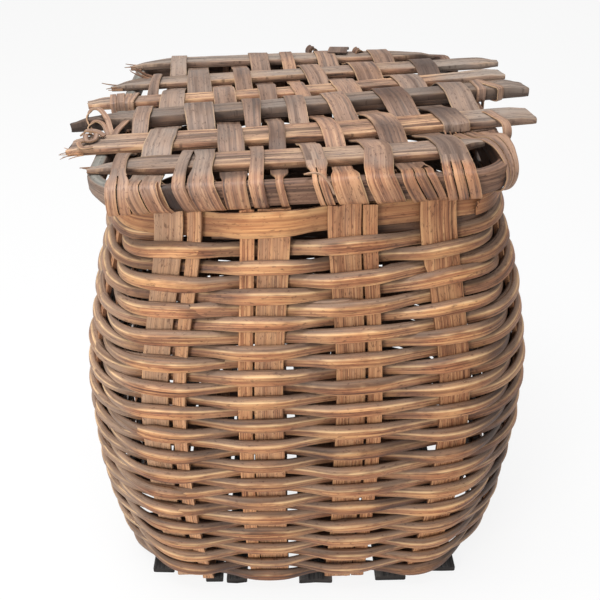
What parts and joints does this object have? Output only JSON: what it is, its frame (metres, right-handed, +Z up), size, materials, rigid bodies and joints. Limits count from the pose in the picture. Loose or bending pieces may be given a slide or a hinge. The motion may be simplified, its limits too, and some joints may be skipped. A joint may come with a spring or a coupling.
{
  "type": "lidded splint basket",
  "caption": "Square-bellied basket woven from wood splints, with a flat woven lid on a bent-wood hoop that turns up at the back.",
  "frame": {"origin": "middle of the base, on the plane that the foot strips rest on", "axes": "+X right, -Y front, +Y back where the lid is hinged, +Z up"},
  "size_m": [0.3837, 0.3836, 0.4238],
  "materials": {
    "weaver": "aged split wood, worn smooth",
    "upright": "aged split wood with dark grain lines",
    "band": "aged split wood, worn smooth",
    "runner": "dark worn wood",
    "hoop": "weathered bent wood",
    "lath": "weathered split wood",
    "splint": "matte aged splint",
    "tie": "matte aged splint"
  },
  "bodies": {
    "basket": {"base_runner_01": "runner", "base_runner_02": "runner", "base_runner_03": "runner", "base_runner_04": "runner", "base_runner_05": "runner", "base_runner_06": "runner", "upright_front_back_01": "upright", "upright_front_back_02": "upright", "upright_front_back_03": "upright", "upright_front_back_04": "upright", "upright_side_side_01": "upright", "upright_side_side_02": "upright", "upright_side_side_03": "upright", "upright_side_side_04": "upright", "weaver_01": "weaver", "weaver_02": "weaver", "weaver_03": "weaver", "weaver_04": "weaver", "weaver_05": "weaver", "weaver_06": "weaver", "weaver_07": "weaver", "weaver_08": "weaver", "weaver_09": "weaver", "weaver_10": "weaver", "weaver_11": "weaver", "weaver_12": "weaver", "weaver_13": "weaver", "weaver_14": "weaver", "weaver_15": "weaver", "weaver_16": "weaver", "rim_band": "band", "hinge_tie_left": "tie", "hinge_tie_right": "tie"},
    "lid": {"lid_hoop": "hoop", "lid_lath_01": "lath", "lid_lath_02": "lath", "lid_lath_03": "lath", "lid_lath_04": "lath", "lid_lath_05": "lath", "lid_lath_06": "lath", "lid_splint_01": "splint", "lid_splint_02": "splint", "lid_splint_03": "splint", "lid_splint_04": "splint", "lid_splint_05": "splint", "lid_splint_06": "splint", "lid_splint_07": "splint", "lid_splint_08": "splint", "lid_splint_09": "splint", "lid_splint_10": "splint", "lid_splint_11": "splint", "lid_splint_12": "splint", "lid_splint_13": "splint", "lid_splint_14": "splint", "lath_lashing_01": "splint", "lath_lashing_02": "splint", "lath_lashing_03": "splint", "hoop_wrap_right": "splint"}
  },
  "joints": [
    {"name": "lid_hinge", "type": "hinge", "parent": "basket", "child": "lid", "pos_m": [-0.0056, 0.1515, 0.40079], "axis": [-0.9993, 0, -0.0375], "range_deg": [0, 110]}
  ]
}
